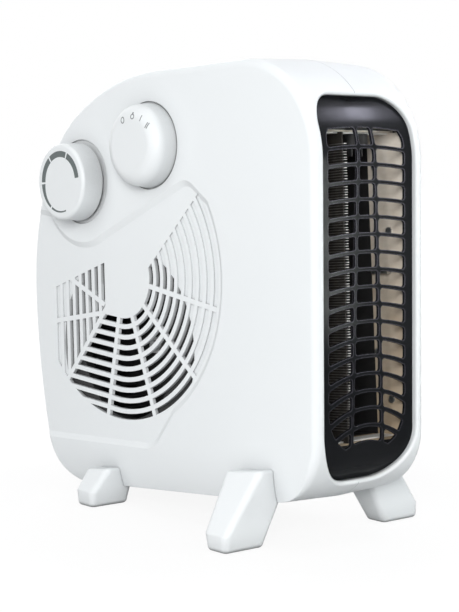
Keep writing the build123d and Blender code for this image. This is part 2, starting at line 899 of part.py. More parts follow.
def wheel_disc():
    """Back disc of the centrifugal wheel with its hub."""
    disc = x_block(Circle(wheel_radius + wheel_rim), wheel_back_x - wheel_plate, wheel_back_x)
    hub = x_block(Circle(wheel_hub_radius), wheel_back_x - wheel_hub_length, wheel_back_x)
    return Pos(0, *fan_center) * (disc + hub - wheel_bore())


def fan_wheel():
    """Blades of the centrifugal wheel on their front ring."""
    single = x_block(blade(), wheel_front_x + wheel_plate / 2, wheel_back_x - wheel_plate)
    blades = [Rot(index * 360.0 / blade_count, 0, 0) * single for index in range(blade_count)]
    ring = x_block(
        Circle(wheel_radius + wheel_rim) - Circle(wheel_eye), wheel_front_x, wheel_front_x + wheel_plate)
    return Pos(0, *fan_center) * (ring + blades)


def wheel_nut():
    """Nut that holds the wheel on the shaft."""
    x_to = wheel_back_x - wheel_hub_length
    shape = RegularPolygon(nut_radius, 6) - Circle(shaft_radius)
    return Pos(0, *fan_center) * x_block(shape, x_to - nut_thick, x_to)


def motor_shaft():
    x_from = wheel_back_x - wheel_hub_length - nut_thick - 2.0
    x_to = stack_front_x + stack_depth + bracket_plate + back_housing_reach - 1.0
    return x_cylinder(fan_center, shaft_radius, x_from, x_to)


def rotor_core():
    """Rotor on the shaft."""
    x_from = stack_front_x + rotor_short
    x_to = stack_front_x + stack_depth - rotor_short
    shape = Circle(rotor_radius) - Circle(shaft_radius)
    return Pos(0, *fan_center) * x_block(shape, x_from, x_to)


def limb_base():
    """Lower edge of the coil limb over the fan axis."""
    return stack_above + window_height


def motor_screw_places():
    """The two through screws of the motor, beside the rotor."""
    return [(fan_center[0] + side * motor_screw_y, fan_center[1]) for side in (-1, 1)]


def stator_core():
    """Laminated core with the rotor bore, a window and the coil limb."""
    top = limb_base() + limb_height
    height = top + stack_below
    shape = Pos(0, (top - stack_below) / 2) * RectangleRounded(stack_width, height, 3)
    shape = shape - Circle(rotor_radius + rotor_air_gap)
    shape = shape - Pos(0, stack_above + window_height / 2) * Rectangle(2 * window_half, window_height)
    core = Pos(0, *fan_center) * x_block(shape, stack_front_x, stack_front_x + stack_depth)
    for place in motor_screw_places():
        core = core - x_cylinder(place, motor_screw_radius, stack_front_x - 1, stack_front_x + stack_depth + 1)
    return core


def coil_section(grow):
    """Cross section of the coil at a distance from the limb, in the XZ plane."""
    middle_x = stack_front_x + stack_depth / 2
    middle_z = limb_base() + limb_height / 2
    return middle_x, middle_z, stack_depth + 2 * grow, limb_height + 2 * grow


def around_limb(inner, outer, half_length):
    """Rectangular tube round the limb between two distances."""
    x, z, width, height = coil_section(outer)
    block = Pos(x, 0, z) * Box(width, 2 * half_length, height)
    x, z, width, height = coil_section(inner)
    hole = Pos(x, 0, z) * Box(width, 4 * half_length, height)
    return Pos(0, *fan_center) * (block - hole)


def coil_bobbin():
    """Bobbin: tube on the limb with a flange at each end."""
    tube = around_limb(0.0, bobbin_wall, coil_half_length)
    flange = around_limb(0.0, bobbin_wall + coil_build - 0.4, 1.0)
    ends = [Pos(0, side * (coil_half_length - 1.0), 0) * flange for side in (-1, 1)]
    return tube + ends


def motor_coil():
    """Copper winding on the bobbin."""
    return around_limb(bobbin_wall, coil_build + 0.4, coil_half_length - 2.0)


def bracket(x_plate, x_end):
    """Bearing bracket: cross plate against the core with a bearing housing."""
    low, high = sorted((x_plate, x_end))
    plate_to = x_plate + math.copysign(bracket_plate, x_end - x_plate)
    plate_low, plate_high = sorted((x_plate, plate_to))
    shape = RectangleRounded(stack_width, bracket_height, 4)
    body = x_block(shape, plate_low, plate_high) + x_block(Circle(housing_radius), low, high)
    body = Pos(0, *fan_center) * body
    for place in motor_screw_places():
        body = body - x_cylinder(place, motor_screw_radius, plate_low - 1, plate_high + 1)
    return body - x_cylinder(fan_center, bearing_radius, low - 1, high + 1)


def front_bracket():
    end = stack_front_x - bracket_plate - front_housing_reach
    return bracket(stack_front_x, end)


def back_bracket():
    start = stack_front_x + stack_depth
    return bracket(start, start + bracket_plate + back_housing_reach)


def bearing(x_from):
    """Sintered bearing bush."""
    shape = Circle(bearing_radius) - Circle(shaft_radius + bearing_fit)
    return Pos(0, *fan_center) * x_block(shape, x_from, x_from + bearing_length)


def motor_screws():
    """Two through screws, from the front bracket into the bosses of the far shell."""
    head_x = stack_front_x - bracket_plate
    tip_x = stack_front_x + stack_depth + bracket_plate + motor_screw_bite
    screws = []
    for place in motor_screw_places():
        shank = x_cylinder(place, motor_screw_radius, head_x, tip_x)
        head = x_cylinder(place, motor_screw_head, head_x - motor_screw_head_height, head_x)
        screws.append(shank + head)
    return screws


def element_end(z_low):
    """Mica end plate of the element frame."""
    return box_between(-board_x - mica, board_x + mica, end_front_y, board_rear_y, z_low, z_low + mica)


def element_board(x_low):
    """Upright mica side board between the end plates, its rear edge drawn forward at the foot."""
    low, high = duct_floor_z + mica, duct_top_z - mica
    shape = make_face(Polyline(
        (front_y, low), (board_rear_y - board_slant, low), (board_rear_y, high), (front_y, high), close=True))
    board = x_block(shape, x_low, x_low + mica)
    return board & side_prism(opening_depth + grille_plate + grille_back + board_gap, half_width)


def element_card():
    """Mica card that carries the wound wire."""
    return box_between(
        card_x - mica / 2, card_x + mica / 2, card_front_y, card_front_y + card_depth,
        duct_floor_z + mica, duct_top_z - mica)


def wire_points():
    """Corner data of the winding: start, pitch, pass length and slope."""
    z_low = duct_floor_z + mica + wire_end_gap
    z_high = duct_top_z - mica - wire_end_gap
    pitch = (z_high - z_low) / wire_loops
    return z_low, pitch


def heating_wire():
    """One unbroken wire wound round the card, passes joined by two quarter turns at each edge."""
    z_low, pitch = wire_points()
    depth = card_depth
    front = card_front_y
    rise = pitch / 2
    slope = rise / (depth + 2 * wire_standoff)
    length = math.hypot(1.0, slope)
    along = Vector(0, 1 / length, slope / length)
    back = Vector(0, -1 / length, slope / length)
    across = Vector(1, 0, 0)
    point = Vector(card_x - wire_standoff, front, z_low)
    path = []
    samples = []
    for loop in range(wire_loops):
        for direction, following, turn in ((along, back, across), (back, along, -across)):
            end = point + direction * (depth * length)
            path.append(Line(point, end))
            samples.append((point, end))
            mid = end + direction * wire_standoff + turn * wire_standoff
            path.append(TangentArc(end, mid, tangent=direction))
            last = mid + turn * wire_standoff + following * wire_standoff
            path.append(TangentArc(mid, last, tangent=turn))
            point = last
    start_plane = Plane(origin=samples[0][0], z_dir=along)
    report_wire_gap(samples)
    return sweep(start_plane * Circle(wire_radius), path=Wire(path))


def report_wire_gap(samples):
    """Print the least gap of the winding to itself, measured between points of its passes."""
    count = 40
    rows = []
    for start, end in samples:
        rows.append([start + (end - start) * (step / count) for step in range(count + 1)])
    least = 1e9
    for index, row in enumerate(rows):
        for other in rows[index + 1:index + 4]:
            for a in row:
                for b in other:
                    least = min(least, (a - b).length - 2 * wire_radius)
    print("heating wire, least gap to itself", round(least, 2), "mm")


def heater_straps():
    """Steel straps under the end plates that tie the boards together."""
    straps = []
    for z_low in (duct_top_z - mica - strap_thick, duct_floor_z + mica):
        for x_from, x_to in ((card_x + mica / 2, board_x), (-board_x, card_x - mica / 2)):
            strap = box_between(
                x_from, x_to, strap_front_y, strap_front_y + strap_depth, z_low, z_low + strap_thick)
            straps.append(strap)
    return straps


def heater_rivets():
    """Rivets through the far board."""
    rivets = []
    for y, z in rivet_places():
        head = x_cylinder((y, z), rivet_radius, board_x - rivet_height, board_x)
        shank = x_cylinder((y, z), rivet_shank, board_x, board_x + mica)
        tail = x_cylinder((y, z), rivet_radius, board_x + mica, board_x + mica + rivet_height)
        rivets.append(head + shank + tail)
    return rivets


def rivet_places():
    """Places of the rivets on the far board."""
    y_front = end_front_y + 3
    y_back = board_rear_y - 6
    return ((y_front, 24.0), (y_back, -44.0), (y_front, -70.0), (y_back, 60.0))


def board_far():
    board = element_board(board_x)
    for place in rivet_places():
        board = board - x_cylinder(place, rivet_shank, board_x - 1, board_x + mica + 1)
    return board


def thermal_cutout():
    """Bimetal cut-out seated under the top strap."""
    x, y = cutout_at
    z_top = duct_top_z - mica - strap_thick
    can = Pos(x, y, z_top) * Cylinder(
        cutout_radius, cutout_height, align=(Align.CENTER, Align.CENTER, Align.MAX))
    tabs = [
        box_between(x + s - 0.4, x + s + 0.4, y - 2, y + 2, z_top - cutout_height - 6, z_top - cutout_height)
        for s in (-4, 4)]
    return can + tabs


def thermal_fuse():
    """Thermal fuse lying on the far board with its two leads."""
    x = board_x - fuse_radius
    can = Pos(x, fuse_y, fuse_z) * Rot(90, 0, 0) * Cylinder(fuse_radius, fuse_length)
    lead = Pos(x, fuse_y, fuse_z) * Rot(90, 0, 0) * Cylinder(0.5, fuse_length + 8)
    return can + lead


def rear_surface_y(z):
    """Outer surface of the rear at a height, on the seam."""
    probe = side_prism(0, 1) & box_between(-0.5, 0.5, 0, 200, z - 0.05, z + 0.05)
    return probe.bounding_box().max.Y


def gland_hole():
    """Round hole through the rear wall on the seam."""
    y = rear_surface_y(gland_z)
    return Pos(0, y, gland_z) * Rot(90, 0, 0) * Cylinder(gland_neck, 30)


def cord_gland():
    """Rear gland: outer flange with a nose, neck through the wall, inner flange."""
    y = rear_surface_y(gland_z)
    near = Pos(0, y, gland_z) * Box(2 * gland_reach, 2 * gland_reach, 2 * gland_reach)
    skin = whole_case(0) & near
    core = whole_case(wall) & near
    along_y = Pos(0, y, gland_z) * Rot(90, 0, 0)
    outer_disc = along_y * Cylinder(gland_flange, 2 * gland_flange_thick) - skin
    inner_disc = along_y * Pos(0, 0, wall) * Cylinder(gland_flange, 2 * gland_inner_thick) & core
    neck = along_y * Cylinder(gland_neck, 2 * (wall + 2)) & (skin - core)
    nose = Pos(0, y, gland_z) * Rot(-90, 0, 0) * Cone(
        gland_neck, gland_neck - 1.4, gland_nose, align=(Align.CENTER, Align.CENTER, Align.MIN))
    nose = nose - skin
    body = outer_disc + inner_disc + neck + nose
    bore = along_y * Cylinder(gland_bore, 2 * gland_reach)
    return body - bore


def terminal_block():
    """Terminal block on the inner face of the far shell."""
    width, length, height = terminal_size
    y, z = terminal_center
    x_to = half_width - wall
    body = box_between(x_to - width, x_to, y - length / 2, y + length / 2, z - height / 2, z + height / 2)
    body = body & whole_case(wall)
    for place in terminal_places():
        body = body - x_cylinder(place, terminal_screw_radius, x_to - width - 1, x_to - width + 7)
    return body


def terminal_places():
    width, length, height = terminal_size
    y, z = terminal_center
    step = length / terminal_count
    return [(y + (index - (terminal_count - 1) / 2) * step, z) for index in range(terminal_count)]


def terminal_screws():
    width = terminal_size[0]
    x_to = half_width - wall
    start = x_to - width
    return [x_cylinder(place, terminal_screw_radius, start + 1, start + 7) for place in terminal_places()]


def far(piece):
    """The same piece on the other side of the seam."""
    return mirror(piece, about=Plane.YZ)


def all_parts():
    """Every node of the heater in the case frame."""
    parts = {}
    parts["control_side_shell"] = control_side_shell()
    parts["far_side_shell"] = far_side_shell()
    parts["outlet_grille"] = outlet_grille()
    front = front_foot()
    rear = rear_foot()
    parts["front_foot_control_side"] = front
    parts["front_foot_far_side"] = far(front)
    parts["rear_foot_control_side"] = rear
    parts["rear_foot_far_side"] = far(rear)
    parts["foot_screws"] = foot_screws()
    parts["case_screws"] = case_screws()
    parts["thermostat_knob"] = thermostat_knob()
    parts["selector_knob"] = selector_knob()
    parts["thermostat_shaft"] = control_shaft(thermostat_at, thermostat_height, thermostat_body_depth)
    parts["selector_shaft"] = control_shaft(selector_at, selector_height, selector_body_depth)
    parts["thermostat_body"] = thermostat_body()
    parts["selector_switch"] = selector_body()
    parts["thermostat_screws"] = control_screws(thermostat_at)
    parts["selector_screws"] = control_screws(selector_at)
    parts["inlet_ring"] = inlet_ring()
    parts["air_duct"] = air_duct()
    parts["fan_wheel"] = fan_wheel()
    parts["wheel_disc"] = wheel_disc()
    parts["wheel_nut"] = wheel_nut()
    parts["motor_shaft"] = motor_shaft()
    parts["rotor_core"] = rotor_core()
    parts["stator_core"] = stator_core()
    parts["coil_bobbin"] = coil_bobbin()
    parts["motor_coil"] = motor_coil()
    parts["front_bearing_bracket"] = front_bracket()
    parts["back_bearing_bracket"] = back_bracket()
    parts["front_bearing"] = bearing(stack_front_x - bracket_plate - front_housing_reach)
    parts["back_bearing"] = bearing(stack_front_x + stack_depth + 0.5)
    parts["motor_screws"] = motor_screws()
    parts["mica_board_control_side"] = element_board(-board_x - mica)
    parts["mica_board_far_side"] = board_far()
    parts["mica_end_top"] = element_end(duct_top_z - mica)
    parts["mica_end_bottom"] = element_end(duct_floor_z)
    parts["element_card"] = element_card()
    parts["heating_wire"] = heating_wire()
    parts["heater_straps"] = heater_straps()
    parts["heater_rivets"] = heater_rivets()
    parts["thermal_cutout"] = thermal_cutout()
    parts["thermal_fuse"] = thermal_fuse()
    parts["cord_gland"] = cord_gland()
    parts["terminal_block"] = terminal_block()
    parts["terminal_screws"] = terminal_screws()
    return parts


def as_shape(piece):
    """One shape from a single piece or from a list of like pieces."""
    if isinstance(piece, list):
        return Compound([solid for item in piece for solid in item.solids()])
    solids = piece.solids()
    if len(solids) == 1:
        return solids[0]
    return Compound(list(solids))


def standing_place(shapes):
    """Lean the case back, lift it to its feet and centre its whole depth on the origin."""
    leaned = Pos(0, 0, hub_height) * Rot(-lean, 0, 0)
    boxes = [(leaned * shape).bounding_box() for shape in shapes.values()]
    middle = (min(box.min.Y for box in boxes) + max(box.max.Y for box in boxes)) / 2
    print("hub of the intake slots at y", round(-middle, 3), "z", round(hub_height, 3))
    return Pos(0, -middle, 0) * leaned


def main():
    os.makedirs("parts", exist_ok=True)
    shapes = {name: as_shape(piece) for name, piece in all_parts().items()}
    place = standing_place(shapes)
    for name, shape in shapes.items():
        export_step(place * shape, f"parts/{name}.step")


main()
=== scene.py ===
import json
import math
import random

import bpy
from mathutils import Matrix, Vector
from mathutils.bvhtree import BVHTree


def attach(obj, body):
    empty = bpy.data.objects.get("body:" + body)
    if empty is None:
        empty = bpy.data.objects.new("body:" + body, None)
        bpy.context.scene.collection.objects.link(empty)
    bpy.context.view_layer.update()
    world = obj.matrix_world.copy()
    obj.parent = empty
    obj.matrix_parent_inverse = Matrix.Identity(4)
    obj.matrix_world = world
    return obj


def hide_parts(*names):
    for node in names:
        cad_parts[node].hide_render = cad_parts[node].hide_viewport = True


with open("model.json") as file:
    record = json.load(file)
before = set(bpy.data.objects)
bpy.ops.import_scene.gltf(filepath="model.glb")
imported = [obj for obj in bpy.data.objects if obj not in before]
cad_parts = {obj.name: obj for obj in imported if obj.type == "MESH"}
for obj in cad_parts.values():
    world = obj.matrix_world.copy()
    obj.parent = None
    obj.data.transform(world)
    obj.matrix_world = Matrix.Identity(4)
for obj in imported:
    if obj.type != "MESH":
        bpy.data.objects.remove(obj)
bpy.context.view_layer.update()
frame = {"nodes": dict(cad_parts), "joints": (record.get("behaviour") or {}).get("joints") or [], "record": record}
nodes = frame["nodes"]
joints = {row["name"]: row for row in frame["joints"]}

MM = 0.001

# The case frame of the CAD model leans back about the thickness axis, from an origin at these places (mm).
LEAN = math.radians(3.5)
HUB_Y = 38.566
HUB_Z = 136.598

# Printed film (mm): how far it stands proud of a knob and reaches into it, and where rays to it start
PRINT_PROUD = 0.05
PRINT_SUNK = 0.12
OUTSIDE_X = -120.0

# Printed scale of the thermostat knob: radius and widths (mm), and angles from the top to the rear (degrees)
RING_OUTER = 18.4
RING_WIDE = 3.6
RING_NARROW = 0.8
RING_TAPER_START = 92.0
RING_END = 197.0
RING_ARCS = ((-83.5, -24.8), (-20.8, 33.5), (37.5, 89.2), (93.2, 146.0), (150.0, 196.5))
RING_STEP = 2.0
RING_FEWEST_STEPS = 4

# Marks of the selector knob: the angle (degrees) and radius (mm) of each, the share of that angle by which
# it leans, and their sizes (mm)
OFF_MARK = (20.3, 15.4)
FAN_MARK = (-11.9, 16.8)
LOW_MARK = (-35.5, 18.0)
HIGH_MARK = (-56.4, 18.6)
MARK_LEAN = 0.45
MARK_STROKE = 0.55
MARK_HEIGHT = 3.4
OFF_HALF = (1.35, 1.7)
FAN_HALF = (1.35, 1.3)
FAN_DROP = -0.45
FAN_STEM = (0.75, 2.0)
FAN_STEM_WIDTH = 1.1
HIGH_BAR_OFFSET = 0.5

# Steps of a loop and of a straight line, enough to follow a domed knob
LOOP_STEPS = 28
LINE_STEPS = 10

# Heating element (mm, case frame)
CARD_X = -6.0
CARD_FRONT_Y = -149.3
CARD_DEPTH = 17.0
WINDING_LOW_Z = -84.0
WINDING_HIGH_Z = 73.5
WINDING_PITCH = 1.45
WIRE_RADIUS = 0.27
WIRE_SIDES = 8
WINDING_STANDOFF = 1.35
WINDING_BEND = 2.6
WINDING_SEED = 11

# How uneven the turns are: how far a bend stands out, and how far it strays up or down near the front (mm)
BULGE_LEAST, BULGE_MOST = -0.15, 0.3
SWAY = 0.16
SWAY_DEPTH = 5.0

# One turn of the winding: the share of the pitch that a side and a bend climb, and their steps
SIDE_RISE = 0.40
BEND_RISE = 0.10
SIDE_STEPS = 5
FRONT_STEPS = 8
REAR_STEPS = 6

# Floor: its half width (m), its darkest and palest tints, and the glow that the camera sees on it
FLOOR_HALF = 6.0
FLOOR_TINTS = (0.48, 0.52)
FLOOR_ROUGHNESS = 0.6
FLOOR_GLOW = 1.08

# The share of that glow rises from one value to the other between these distances from the middle (m).
GLOW_DISTANCES = (0.16, 0.5)
GLOW_SHARES = (0.84, 1.0)

# Light
PLAIN_WHITE = (1.0, 1.0, 1.0)
AMBIENT_COLOR = (0.96, 0.98, 1.0)
AMBIENT_STRENGTH = 0.38
OBJECT_MIDDLE = (0.0, 0.0, 0.13)

# Camera: its place and clip distances (m), the ways its back and right side face, and its lens (mm)
CAMERA_PLACE = (-0.6677, -0.747634, 0.216398)
CAMERA_CLIP = (0.01, 50.0)
CAMERA_BACK = (-0.6687, -0.7375, 0.0951)
CAMERA_RIGHT = (0.7418, -0.6704, 0.0174)
CAMERA_LENS = 100.0
CAMERA_SENSOR = 36.0


def case_point(x, y, z):
    """World point (m) of a point of the case frame (mm)."""
    cos, sin = math.cos(LEAN), math.sin(LEAN)
    return Vector((x, y * cos + z * sin + HUB_Y, z * cos - y * sin + HUB_Z)) * MM


def case_place(point):
    """Place (y, z) in the case frame (mm) of a world point (m)."""
    cos, sin = math.cos(LEAN), math.sin(LEAN)
    y, z = point[1] / MM - HUB_Y, point[2] / MM - HUB_Z
    return y * cos - z * sin, y * sin + z * cos


# Node trees


class ShaderTree:
    """A node tree, with short calls that add its nodes and return their outputs."""

    # Sockets of the colour Mix node, whose names it also gives to sockets of other types
    MIX_FIRST, MIX_SECOND, MIX_RESULT = 6, 7, 2

    def __init__(self, tree):
        self.tree = tree
        tree.nodes.clear()

    def add(self, kind, **values):
        node = self.tree.nodes.new(kind)
        for key, value in values.items():
            setattr(node, key, value)
        return node

    def feed(self, socket, value):
        """Give a socket the output of another node, a colour, a vector or a number."""
        if isinstance(value, bpy.types.NodeSocket):
            self.tree.links.new(value, socket)
        elif socket.type == "RGBA":
            socket.default_value = (*value, 1.0)
        else:
            socket.default_value = value

    def math(self, operation, first, second):
        node = self.add("ShaderNodeMath", operation=operation)
        self.feed(node.inputs[0], first)
        self.feed(node.inputs[1], second)
        return node.outputs["Value"]

    def mix(self, share, first, second, way="MIX"):
        node = self.add("ShaderNodeMix", data_type="RGBA", blend_type=way)
        self.feed(node.inputs["Factor"], share)
        self.feed(node.inputs[self.MIX_FIRST], first)
        self.feed(node.inputs[self.MIX_SECOND], second)
        return node.outputs[self.MIX_RESULT]

    def light(self, kind, color, strength):
        """Light given off by an Emission or a Background node."""
        node = self.add(kind)
        self.feed(node.inputs["Color"], color)
        self.feed(node.inputs["Strength"], strength)
        return node.outputs[0]

    def mix_shaders(self, share, first, second):
        node = self.add("ShaderNodeMixShader")
        for socket, value in zip(node.inputs, (share, first, second)):
            self.feed(socket, value)
        return node.outputs[0]


class Surface(ShaderTree):
    """A node material round one Principled shader, with helpers for its patterns."""

    BEVEL_SAMPLES = 4
    CLOSENESS_SAMPLES = 8

    def __init__(self, name):
        self.material = bpy.data.materials.new(name)
        self.material.use_nodes = True
        super().__init__(self.material.node_tree)
        self.out = self.add("ShaderNodeOutputMaterial")
        self.shader = self.add("ShaderNodeBsdfPrincipled")
        self.feed(self.out.inputs["Surface"], self.shader.outputs[0])
        self.coords = self.add("ShaderNodeTexCoord").outputs["Object"]

    def stretched(self, scale):
        mapping = self.add("ShaderNodeMapping")
        self.feed(mapping.inputs["Vector"], self.coords)
        self.feed(mapping.inputs["Scale"], scale)
        return mapping.outputs["Vector"]

    def axis(self, letter, vector=None):
        """One component of a vector, or of the object's own coordinates in metres."""
        split = self.add("ShaderNodeSeparateXYZ")
        self.feed(split.inputs["Vector"], vector or self.coords)
        return split.outputs[letter]

    def facing(self):
        return self.add("ShaderNodeNewGeometry").outputs["Normal"]

    def noise(self, scale, detail=3.0, rough=0.5, vector=None, distortion=0.0):
        node = self.add("ShaderNodeTexNoise")
        self.feed(node.inputs["Vector"], vector or self.coords)
        self.feed(node.inputs["Scale"], scale)
        self.feed(node.inputs["Detail"], detail)
        self.feed(node.inputs["Roughness"], rough)
        self.feed(node.inputs["Distortion"], distortion)
        return node.outputs["Fac"]

    def cells(self, scale, vector=None):
        node = self.add("ShaderNodeTexVoronoi")
        self.feed(node.inputs["Vector"], vector or self.coords)
        self.feed(node.inputs["Scale"], scale)
        return node.outputs["Distance"]

    def span(self, value, low, high, to_low=0.0, to_high=1.0):
        """A value carried from one range of numbers to another, and held at its ends."""
        node = self.add("ShaderNodeMapRange")
        ends = {"Value": value, "From Min": low, "From Max": high, "To Min": to_low, "To Max": to_high}
        for socket, end in ends.items():
            self.feed(node.inputs[socket], end)
        return node.outputs["Result"]

    def ramp(self, value, *stops):
        node = self.add("ShaderNodeValToRGB")
        elements = node.color_ramp.elements
        while len(elements) < len(stops):
            elements.new(0.5)
        for element, (position, color) in zip(elements, stops):
            element.position = position
            element.color = (*color, 1.0)
        self.feed(node.inputs["Fac"], value)
        return node.outputs["Color"]

    def relief(self, height, strength, depth, under=None):
        """Bump from a height, on top of another relief where there is one."""
        node = self.add("ShaderNodeBump")
        self.feed(node.inputs["Height"], height)
        self.feed(node.inputs["Strength"], strength)
        self.feed(node.inputs["Distance"], depth)
        if under is not None:
            self.feed(node.inputs["Normal"], under)
        return node.outputs["Normal"]

    def soft_edges(self, radius):
        node = self.add("ShaderNodeBevel", samples=self.BEVEL_SAMPLES)
        self.feed(node.inputs["Radius"], radius)
        return node.outputs["Normal"]

    def corner_highlight_mask(self, width):
        """1 along the corners, where the painted highlight goes, 0 on the faces between them."""
        both = self.add("ShaderNodeVectorMath", operation="DOT_PRODUCT")
        self.feed(both.inputs[0], self.soft_edges(width))
        self.feed(both.inputs[1], self.facing())
        return self.span(both.outputs["Value"], 0.80, 0.96, 1.0, 0.0)

    def closeness(self, reach):
        """1 on open surfaces, falling where other surfaces stand close within a reach."""
        node = self.add("ShaderNodeAmbientOcclusion", samples=self.CLOSENESS_SAMPLES)
        self.feed(node.inputs["Distance"], reach)
        return node.outputs["AO"]

    def distance(self):
        """Distance in metres from the origin, on the floor below the object's middle."""
        node = self.add("ShaderNodeVectorMath", operation="LENGTH")
        self.feed(node.inputs[0], self.coords)
        return node.outputs["Value"]

    def finish(self, color, roughness, normal=None, metallic=0.0, coat=0.0, specular=0.5):
        """The material, with what its shader takes."""
        values = {
            "Base Color": color,
            "Roughness": roughness,
            "Metallic": metallic,
            "Coat Weight": coat,
            "Specular IOR Level": specular,
        }
        if normal is not None:
            values["Normal"] = normal
        for socket, value in values.items():
            self.feed(self.shader.inputs[socket], value)
        return self.material


# Materials


def toned(tone, color):
    return tuple(tone * part for part in color)


def white_plastic(name, tone=1.0, gloss=0.31, edge=0.4, shade=0.70, reach=14.0):
    """Glossy white moulded plastic: faint clouding and specks, a fine skin, and painted shade in its recesses.

    The edge is the radius of its soft corners, and the reach how near a wall must stand to paint shade into a
    recess (mm).
    """
    s = Surface(name)
    pale = toned(tone, (0.818, 0.842, 0.852))
    dull = toned(tone, (0.806, 0.832, 0.843))
    body = s.ramp(s.noise(5.0, detail=1.0), (0.35, dull), (0.65, pale))
    specks = s.span(s.noise(420.0, detail=1.0), 0.60, 0.80, 0.0, 0.12)
    color = s.mix(specks, body, toned(tone, (0.78, 0.80, 0.81)))
    # Painted shade: the colour darkens where other surfaces stand close, in recesses, creases and round the knobs.
    close = s.closeness(reach * MM)
    wide_shade = s.span(close, 0.25, 0.95, shade, 1.0)
    deep_shade = s.span(close, 0.0, 0.45, 0.40, 1.0)
    color = s.mix(1.0, color, s.math("MULTIPLY", wide_shade, deep_shade), "MULTIPLY")
    rough = s.span(s.noise(20.0, detail=1.0), 0.3, 0.7, gloss - 0.02, gloss + 0.04)
    waves = s.relief(s.noise(9.0, detail=1.0), 0.03, 0.6 * MM, s.soft_edges(edge * MM))
    skin = s.relief(s.noise(500.0, detail=1.0), 0.03, 0.03 * MM, waves)
    return s.finish(color, rough, skin, specular=0.32)


def black_plastic(name):
    """Glossy black plastic with faint dust, and a painted violet-grey highlight along its corners, stronger
    towards its top.
    """
    s = Surface(name)
    body = s.ramp(s.noise(30.0), (0.3, (0.0060, 0.0066, 0.0078)), (0.7, (0.0092, 0.0100, 0.0116)))
    dust = s.span(s.noise(1900.0, rough=0.7), 0.68, 0.82, 0.0, 0.35)
    color = s.mix(dust, body, (0.07, 0.07, 0.075))
    # Painted highlight: pale violet-grey on the corners, fading lower down where less light falls.
    higher = s.span(s.axis("Z"), 60 * MM, 170 * MM, 0.3, 1.0)
    painted_corner_highlight = s.math("MULTIPLY", s.corner_highlight_mask(1.2 * MM), higher)
    color = s.mix(painted_corner_highlight, color, (0.16, 0.155, 0.185))
    rough = s.span(s.noise(60.0, detail=4.0, rough=0.6), 0.3, 0.7, 0.16, 0.24)
    skin = s.relief(s.noise(900.0, detail=2.0), 0.05, 0.03 * MM, s.soft_edges(0.6 * MM))
    return s.finish(color, rough, skin, specular=0.06)


def dark_plastic(name, tone):
    """Matt dark moulded plastic with dust and a fine grain."""
    s = Surface(name)
    low, high = toned(tone, (1.0, 1.0, 1.05)), toned(tone, (1.6, 1.6, 1.65))
    body = s.ramp(s.noise(40.0), (0.3, low), (0.7, high))
    dust = s.span(s.noise(700.0, detail=4.0, rough=0.7), 0.55, 0.8, 0.0, 0.35)
    color = s.mix(dust, body, (0.065, 0.062, 0.06))
    rough = s.span(s.noise(120.0), 0.3, 0.7, 0.42, 0.62)
    grain = s.relief(s.cells(1400.0), 0.25, 0.06 * MM, s.soft_edges(0.3 * MM))
    return s.finish(color, rough, grain)


def mica_sheet(name):
    """Pressed mica: pale flakes laid in sheets, with heat stains, and painted shade that darkens it towards the
    bottom.
    """
    s = Surface(name)
    flakes = s.cells(520.0, s.stretched((1.0, 0.35, 1.0)))
    upright = s.stretched((1.0, 1.0, 0.28))
    veins = s.noise(90.0, detail=5.0, rough=0.65, vector=upright, distortion=0.6)
    color = s.ramp(veins, (0.25, (0.84, 0.76, 0.65)), (0.55, (0.92, 0.85, 0.75)), (0.8, (0.95, 0.89, 0.81)))
    color = s.mix(s.span(flakes, 0.15, 0.75, 0.0, 0.24), color, (0.70, 0.60, 0.49))
    stains = s.span(s.noise(28.0, detail=2.0), 0.56, 0.74, 0.0, 0.55)
    color = s.mix(stains, color, (0.30, 0.20, 0.12))
    # Painted shade: the colour darkens and browns towards the bottom.
    foot = s.span(s.axis("Z"), 45 * MM, 215 * MM, 0.85, 0.0)
    color = s.mix(foot, color, (0.40, 0.28, 0.15))
    rough = s.span(flakes, 0.1, 0.7, 0.34, 0.58)
    return s.finish(color, rough, s.relief(flakes, 0.35, 0.08 * MM))


def dark_card(name):
    """Nearly black mica card with a fibrous grain."""
    s = Surface(name)
    fibres = s.noise(260.0, detail=5.0, rough=0.7, vector=s.stretched((1.0, 1.0, 0.2)))
    color = s.ramp(fibres, (0.3, (0.012, 0.011, 0.010)), (0.7, (0.040, 0.034, 0.028)))
    rough = s.span(fibres, 0.3, 0.7, 0.55, 0.75)
    return s.finish(color, rough, s.relief(fibres, 0.4, 0.08 * MM))


def wound_wire(name):
    """Resistance wire: dull oxidised grey where it lies on the card, with a painted highlight on the bends that
    face the outlet.
    """
    s = Surface(name)
    lines = s.noise(1500.0, detail=4.0, rough=0.65)
    dull = s.ramp(s.noise(300.0), (0.3, (0.10, 0.098, 0.094)), (0.7, (0.19, 0.185, 0.18)))
    shine = s.ramp(s.noise(500.0), (0.3, (0.88, 0.87, 0.85)), (0.7, (0.97, 0.96, 0.94)))
    # Painted highlight: the bends that face the outlet turn pale.
    bend = s.span(s.axis("Y", s.facing()), -0.70, -0.25, 1.0, 0.0)
    rough = s.span(lines, 0.3, 0.7, 0.28, 0.44)
    return s.finish(s.mix(bend, dull, shine), rough, s.relief(lines, 0.3, 0.02 * MM), metallic=0.4)


def metal(name, low, high, roughness, grain=600.0, stretch=(1.0, 1.0, 1.0), metallic=1.0):
    """Metal with a colour range, a roughness range and a grain that may run one way."""
    s = Surface(name)
    lines = s.noise(grain, detail=4.0, rough=0.65, vector=s.stretched(stretch))
    color = s.ramp(s.noise(70.0), (0.3, low), (0.7, high))
    rough = s.span(lines, 0.3, 0.7, *roughness)
    relief = s.relief(lines, 0.3, 0.03 * MM, s.soft_edges(0.2 * MM))
    return s.finish(color, rough, relief, metallic=metallic)


